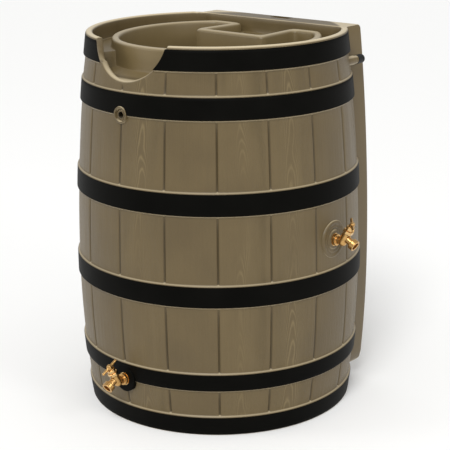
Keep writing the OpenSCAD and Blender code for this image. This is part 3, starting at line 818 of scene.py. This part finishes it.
def makeBand(n, b=barrel):
    lo, hi = bandEdges[n - 1]
    end = bandEnd(n, mix(lo, hi, 0.5))
    flatLow, flatHigh = (lambda a: lo), (lambda a: hi)
    name = "band%d" % n
    if n == 1:      # the notch cuts this band in two
        r = b["bellyR"] - 0.034
        grown = b["notchR"] + 0.0025
        centre = b["notchZ"] + b["notchR"]
        first = math.degrees(math.asin(math.sqrt(grown ** 2 - (centre - lo - 0.002) ** 2) / r))
        last = math.degrees(math.asin(math.sqrt(grown ** 2 - (centre - hi) ** 2) / r))
        def cutHigh(a):
            x = abs(r * math.sin(math.radians(a)))
            return min(hi, centre - math.sqrt(max(0.0, grown ** 2 - x * x))) if x < grown else hi
        near = [mix(first, last + 0.2, i / 22) for i in range(23)]
        right = bandStrip(name, spread(first, end, extra=near), flatLow, cutHigh)
        left = bandStrip(name + "b", [-a for a in reversed(spread(first, end, extra=near))], flatLow, cutHigh)
        return joined(name, [right, left])
    if n == 2:      # the port's rim bites into its lower edge
        grown = fittings["portRimR"] + 0.0004
        def portLow(a):
            x = hoopR(lo) * math.sin(math.radians(a))
            return max(lo, portZ + math.sqrt(grown ** 2 - x * x)) if abs(x) < grown else lo
        edge = math.degrees(math.asin(grown / hoopR(lo)))
        near = [edge * math.sin(math.pi / 2 * i / 12) * s for i in range(13) for s in (1, -1)]
        return bandStrip(name, spread(-end, end, extra=near), portLow, flatHigh)
    ob = bandStrip(name, spread(-end, end), flatLow, flatHigh)
    if n == 5:      # black boss behind the lower tap
        face = lowerFace
        out = [(0.0148, face - 0.03), (0.0308, face - 0.03), (0.0310, face - 0.0022)]
        out += arcPoints(0.0310 - 0.0022, face - 0.0022, 0.0022, 0, 90, 6)
        out += [(0.0151, face), (0.0148, face - 0.0004), (0.0148, face - 0.03)]
        boss = placed(lathe("boss", out, bandBlack, 96), facing(0, lowerZ) @ outwards)
        ob = joined(name, [ob, boss])
    return ob

for n in range(1, 7):
    fitted(makeBand(n), "black_band", "barrel", "hoop_%d" % n)
print("stage: bands")

# taps

tapLook = dict(bodyVoxel=0.00055, handleVoxel=0.00038, smoothRounds=6, threadPitch=0.0022, threadR=0.01325,
               threadLength=0.0100, threadDepth=0.0006, nutBevel=0.0006, handleRounds=8, screwBevel=0.0003)

def mergedCopy(node, name, flatten=False):
    ob = added(name, nodes[node].data.copy())
    bm = bmesh.new()
    bm.from_mesh(ob.data)
    bmesh.ops.remove_doubles(bm, verts=bm.verts, dist=0.000002)
    if flatten:
        bmesh.ops.dissolve_limit(bm, angle_limit=math.radians(1), verts=bm.verts, edges=bm.edges)
    bm.to_mesh(ob.data)
    bm.free()
    return ob

def softCopy(node, name, voxel, rounds, material):
    # a casting: the CAD shape with every edge eased
    ob = mergedCopy(node, name)
    mod = ob.modifiers.new("remesh", "REMESH")
    mod.mode, mod.voxel_size, mod.adaptivity = "VOXEL", voxel, 0.0
    ease = ob.modifiers.new("ease", "SMOOTH")
    ease.factor, ease.iterations = 0.5, rounds
    applied(ob)
    dress(ob, material)
    finish(ob, 60)
    return ob

def bevelCopy(node, name, width, material):
    # a turned or moulded part: the CAD shape with its edges broken
    ob = mergedCopy(node, name, flatten=True)
    mod = ob.modifiers.new("bevel", "BEVEL")
    mod.width, mod.segments, mod.limit_method, mod.angle_limit = width, 3, "ANGLE", math.radians(40)
    mod.use_clamp_overlap = True
    applied(ob)
    dress(ob, material)
    finish(ob, 35)
    return ob

def threadTree():
    g, ins, end = nodeTree("hoseThread", {"Pitch": 0.002, "Radius": 0.013, "Length": 0.01, "Depth": 0.0009})
    turns = ins["Length"] / ins["Pitch"]
    spiral = addNode(g, "GeometryNodeCurveSpiral", None,
                     {"Resolution": 48, "Rotations": turns, "Start Radius": ins["Radius"] - ins["Depth"],
                      "End Radius": ins["Radius"] - ins["Depth"], "Height": ins["Length"]})
    profile = addNode(g, "GeometryNodeCurvePrimitiveCircle", None, {"Resolution": 6, "Radius": ins["Depth"]})
    mesh = addNode(g, "GeometryNodeCurveToMesh", None, {0: spiral, 1: profile})
    closeTree(g, end, mesh, turnedBrass)
    return g

hoseThread = threadTree()

def makeTap(which, k=tapLook):
    nose = next(m for m in frame["record"]["mounts"] if m["name"] == which + "_tap_hose_nose")
    body = softCopy(which + "_tap_body", which + "TapBody", k["bodyVoxel"], k["smoothRounds"], castBrass)
    axis = Vector(nose["axis"]).normalized()
    centre = Vector(nose["pos_m"])
    thread = runTree(emptyMesh(which + "Thread"), hoseThread,
                     {"Pitch": k["threadPitch"], "Radius": k["threadR"], "Length": k["threadLength"],
                      "Depth": k["threadDepth"]})
    turn = axis.to_track_quat("Z", "Y").to_matrix().to_4x4()
    placed(thread, Matrix.Translation(centre - axis * k["threadLength"] / 2) @ turn)
    thread.data.shade_smooth()
    body = joined(which + "TapBody", [body, thread])
    fitted(body, "brass", "barrel", which + "_tap_body")
    spindle = which + "_spindle"
    bonnet = bevelCopy(which + "_bonnet", which + "Bonnet", k["nutBevel"], turnedBrass)
    fitted(bonnet, "brass", "barrel", which + "_bonnet")
    nut = bevelCopy(which + "_gland_nut", which + "GlandNut", k["nutBevel"], turnedBrass)
    fitted(nut, "brass", "barrel", which + "_gland_nut")
    handle = softCopy(which + "_handle", which + "Handle", k["handleVoxel"], k["handleRounds"], castBrass)
    fitted(handle, "brass", spindle, which + "_handle")
    screw = bevelCopy(which + "_handle_screw", which + "HandleScrew", k["screwBevel"], turnedBrass)
    fitted(screw, "brass", spindle, which + "_handle_screw")

for which in ("lower", "side"):
    makeTap(which)
print("stage: taps")

# inlet screen

screenLook = dict(radius=0.0515, pitch=0.0034, wireR=0.00040, wave=0.00042, frameBevel=0.0008)

def wireTree():
    # wires side by side, waved over and under, cut to the round opening
    g, ins, end = nodeTree("wovenWires", {"Radius": 0.05, "Pitch": 0.003, "Wire radius": 0.0004, "Wave": 0.0004})
    count = ins["Radius"] * 2 / ins["Pitch"]
    layers = []
    for turnIndex in range(2):
        line = addNode(g, "GeometryNodeMeshLine", {"mode": "OFFSET"},
                       {"Count": count, "Start Location": combine(g, ins["Radius"] * -1, 0.0, 0.0),
                        "Offset": combine(g, ins["Pitch"], 0.0, 0.0)})
        straight = addNode(g, "GeometryNodeCurvePrimitiveLine", None,
                           {"Start": combine(g, 0.0, ins["Radius"] * -1, 0.0),
                            "End": combine(g, 0.0, ins["Radius"], 0.0)})
        fine = addNode(g, "GeometryNodeResampleCurve", None, {"Curve": straight, "Count": count * 4})
        laid = addNode(g, "GeometryNodeInstanceOnPoints", None, {"Points": line, "Instance": fine})
        real = addNode(g, "GeometryNodeRealizeInstances", None, {0: laid})
        sep = addNode(g, "ShaderNodeSeparateXYZ", None, {0: addNode(g, "GeometryNodeInputPosition")}).socket.node
        x, y = Val(g, sep.outputs[0]), Val(g, sep.outputs[1])
        phase = (x / ins["Pitch"]).calc("ROUND") * math.pi + turnIndex * math.pi
        z = (y / ins["Pitch"] * math.pi + phase).calc("COSINE") * ins["Wave"]
        waved = addNode(g, "GeometryNodeSetPosition", None, {0: real, "Offset": combine(g, 0.0, 0.0, z)})
        gone = (x * x + y * y).calc("GREATER_THAN", ins["Radius"] * ins["Radius"])
        kept = addNode(g, "GeometryNodeDeleteGeometry", None, {0: waved, "Selection": gone})
        profile = addNode(g, "GeometryNodeCurvePrimitiveCircle", None,
                          {"Resolution": 5, "Radius": ins["Wire radius"]})
        mesh = addNode(g, "GeometryNodeCurveToMesh", {}, {0: kept, 1: profile, "Fill Caps": True})
        if turnIndex:
            mesh = addNode(g, "GeometryNodeTransform", None, {0: mesh, "Rotation": (0, 0, math.pi / 2)})
        layers.append(mesh)
    both = g.nodes.new("GeometryNodeJoinGeometry")
    for v in layers:
        g.links.new(v.socket, both.inputs[0])
    closeTree(g, end, Val(g, both.outputs[0]), stainless)
    return g

def makeScreen(k=screenLook):
    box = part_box("screen_mesh")
    ob = runTree(emptyMesh("screenMesh"), wireTree(), {"Radius": k["radius"], "Pitch": k["pitch"],
                                                        "Wire radius": k["wireR"], "Wave": k["wave"]})
    placed(ob, Matrix.Translation((0, inletY, mix(box[0].z, box[1].z, 0.5))))
    ob.data.shade_smooth()
    fitted(ob, "stainless", "barrel", "screen_mesh")
    ring = bevelCopy("screen_frame", "screenFrame", k["frameBevel"], capBlack)
    fitted(ring, "black_plastic", "barrel", "screen_frame")

makeScreen()

screwLook = dict(count=4, circle=0.059, headR=0.0036, headH=0.0021, slotHalf=0.0004,
                 slotLength=0.0046, slotDeep=0.0018, shankR=0.00175, shankL=0.016)

def screwHead(k=screwLook):
    shank, low, head, edge = k["shankR"], -k["shankL"], k["headR"], 0.0005
    out = [(0.0, low), (shank * 0.5, low), (shank, low + 0.003), (shank, 0.0), (head, 0.0), (head, edge)]
    out += [(head * math.cos(a), edge + (k["headH"] - edge) * math.sin(a)) for a in (0.35, 0.7, 1.0, 1.3)]
    out.append((0.0, k["headH"]))
    ob = lathe("screwHead", out, stainless, 32)
    for angle in (0, 90):
        bm = bmesh.new()
        turn = Matrix.Rotation(math.radians(angle), 4, "Z")
        size = Matrix.Diagonal((k["slotLength"], k["slotHalf"] * 2, k["slotDeep"], 1))
        bmesh.ops.create_cube(bm, size=1, matrix=turn @ Matrix.Translation((0, 0, k["slotDeep"])) @ size)
        slot = emptyMesh("slotCut")
        bm.to_mesh(slot.data)
        bm.free()
        cutOut(ob, [slot])
    return ob

def screwTree(head, k=screwLook):
    g, ins, end = nodeTree("ringOfScrews", {"Count": k["count"], "Circle": k["circle"]})
    ring = addNode(g, "GeometryNodeMeshCircle", None, {"Vertices": ins["Count"], "Radius": ins["Circle"]})
    item = addNode(g, "GeometryNodeObjectInfo", None, {"Object": head}, out=4)
    turn = addNode(g, "FunctionNodeRandomValue", {"data_type": "FLOAT"},
                   {"Min": 0.0, "Max": 3.0, "Seed": 4}, out=1)
    laid = addNode(g, "GeometryNodeInstanceOnPoints", None,
                   {"Points": ring, "Instance": item, "Rotation": combine(g, 0.0, 0.0, turn)})
    closeTree(g, end, laid, stainless)
    return g

def makeScrews():
    head = screwHead()
    ob = runTree(emptyMesh("screenScrews"), screwTree(head))
    bpy.data.objects.remove(head)
    placed(ob, Matrix.Translation((0, inletY, screenBox[1].z)) @ Matrix.Rotation(math.radians(45), 4, "Z"))
    finish(ob, 35)
    fitted(ob, "stainless", "barrel", "screen_screws")

makeScrews()
print("stage: inlet screen")

# overflow cap

capLook = dict(ribs=24, ribR=0.0007, ribLength=0.014)

def ribTree():
    g, ins, end = nodeTree("gripRibs", {"Count": 24, "Circle": 0.012, "Rib radius": 0.0007, "Rib length": 0.014})
    ring = addNode(g, "GeometryNodeMeshCircle", None, {"Vertices": ins["Count"], "Radius": ins["Circle"]})
    line = addNode(g, "GeometryNodeCurvePrimitiveLine", None, {"End": combine(g, 0.0, 0.0, ins["Rib length"])})
    profile = addNode(g, "GeometryNodeCurvePrimitiveCircle", None, {"Resolution": 8, "Radius": ins["Rib radius"]})
    rib = addNode(g, "GeometryNodeCurveToMesh", None, {0: line, 1: profile, "Fill Caps": True})
    laid = addNode(g, "GeometryNodeInstanceOnPoints", None, {"Points": ring, "Instance": rib})
    closeTree(g, end, laid, capBlack)
    return g

def makeCap(k=capLook):
    y0, y1 = nozzleBox[0].y, nozzleBox[1].y
    r, inner = (nozzleBox[1].x - nozzleBox[0].x) / 2, fittings["nozzleR"] + 0.0001
    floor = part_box("overflow_cap_seal")[1].y
    out = [(0.0, y1)] + [(r - 0.0032, y1)] + arcPoints(r - 0.0030, y1 - 0.0025, 0.0025, 90, 0, 6)
    out += [(r - 0.0005, y1 - 0.005), (r - 0.0005, y0 + 0.004), (r, y0 + 0.0032), (r, y0 + 0.0006)]
    out += [(r - 0.0006, y0)]
    out += [(inner + 0.0003, y0), (inner, y0 + 0.0004), (inner, floor), (0.0, floor)]
    m = Matrix.Translation((nozzleX, 0, nozzleZ)) @ Matrix.Rotation(math.radians(-90), 4, "X")
    cap = placed(lathe("overflowCap", out, capBlack, 72), m)
    ribs = runTree(emptyMesh("capRibs"), ribTree(), {"Count": k["ribs"], "Circle": r - 0.0008,
                                                     "Rib radius": k["ribR"], "Rib length": k["ribLength"]})
    placed(ribs, m @ Matrix.Translation((0, 0, y0 + 0.005)))
    ribs.data.shade_smooth()
    cap = joined("overflowCap", [cap, ribs])
    fitted(cap, "black_plastic", "overflow_cap", "overflow_cap")

makeCap()
print("stage: overflow cap")

# CAD nodes that stay

for which in ("lower", "side"):
    for part in ("_stem", "_washer_screw", "_tap_insert"):
        dress(nodes[which + part], turnedBrass)
    for part in ("_bonnet_gasket", "_gland_packing", "_seat_washer"):
        dress(nodes[which + part], rubber)
dress(nodes["overflow_cap_seal"], rubber)

# floor, light and camera

studio = dict(floorSize=14.0, floorColour=(0.95, 0.95, 0.94), world=0.60,
              sun=1.75, sunSpread=24.0, sunPlace=(1.6, -3.0, 3.6),
              lamps=[("right", (3.2, -0.4, 2.3), (0.1, 0, 0.55), 1.2, 22),
                     ("left", (-2.2, -2.6, 2.2), (0, 0, 0.6), 1.2, 16)])     # name, place, target, size, power

def makeFloor(s=studio):
    m, t, shader = newMaterial("paleFloor")
    setShader(t, shader, Base_Color=(*s["floorColour"], 1), Roughness=0.9, Specular_IOR_Level=0.1)
    h = s["floorSize"]
    ob = newMesh("floor", [(-h, -h, 0), (h, -h, 0), (h, h, 0), (-h, h, 0)], [(0, 1, 2, 3)], m)

def makeLights(s=studio):
    world = bpy.data.worlds.new("studio")
    bpy.context.scene.world = world
    world.use_nodes = True
    background = world.node_tree.nodes["Background"]
    background.inputs[0].default_value = (1, 1, 1, 1)
    background.inputs[1].default_value = s["world"]
    sun = bpy.data.lights.new("softSun", "SUN")
    sun.energy, sun.angle = s["sun"], math.radians(s["sunSpread"])
    ob = added("softSun", sun)
    ob.rotation_euler = Vector(s["sunPlace"]).to_track_quat("Z", "Y").to_euler()
    for name, place, target, size, power in s["lamps"]:
        lamp = bpy.data.lights.new(name, "AREA")
        lamp.energy, lamp.size, lamp.shape = power, size, "DISK"
        ob = added(name, lamp)
        ob.location = place
        ob.rotation_euler = (Vector(place) - Vector(target)).to_track_quat("Z", "Y").to_euler()

shot = dict(side=41.7, distance=3.194, height=1.3363, down=16.18, roll=0.57, yaw=-0.265, lens=109.52)

def makeCamera(c=shot):
    plan = Matrix.Rotation(math.radians(c["side"] + c["yaw"]), 3, "Z")
    p, r = math.radians(c["down"]), math.radians(c["roll"])
    axes = ((1, 0, 0), (0, -math.sin(p), -math.cos(p)), (0, math.cos(p), -math.sin(p)))
    right, down, ahead = (plan @ Vector(v) for v in axes)
    u = right * math.cos(r) + down * math.sin(r)
    v = down * math.cos(r) - right * math.sin(r)
    cam = bpy.data.cameras.new("camera")
    cam.lens, cam.sensor_width = c["lens"], 36.0
    ob = added("camera", cam)
    a = math.radians(c["side"])
    m = Matrix((u, -v, -ahead)).transposed().to_4x4()
    m.translation = (c["distance"] * math.sin(a), -c["distance"] * math.cos(a), c["height"])
    ob.matrix_world = m
    bpy.context.scene.camera = ob

makeFloor()
makeLights()
makeCamera()
bpy.context.scene.view_settings.view_transform = "Standard"
print("stage: floor, light and camera")
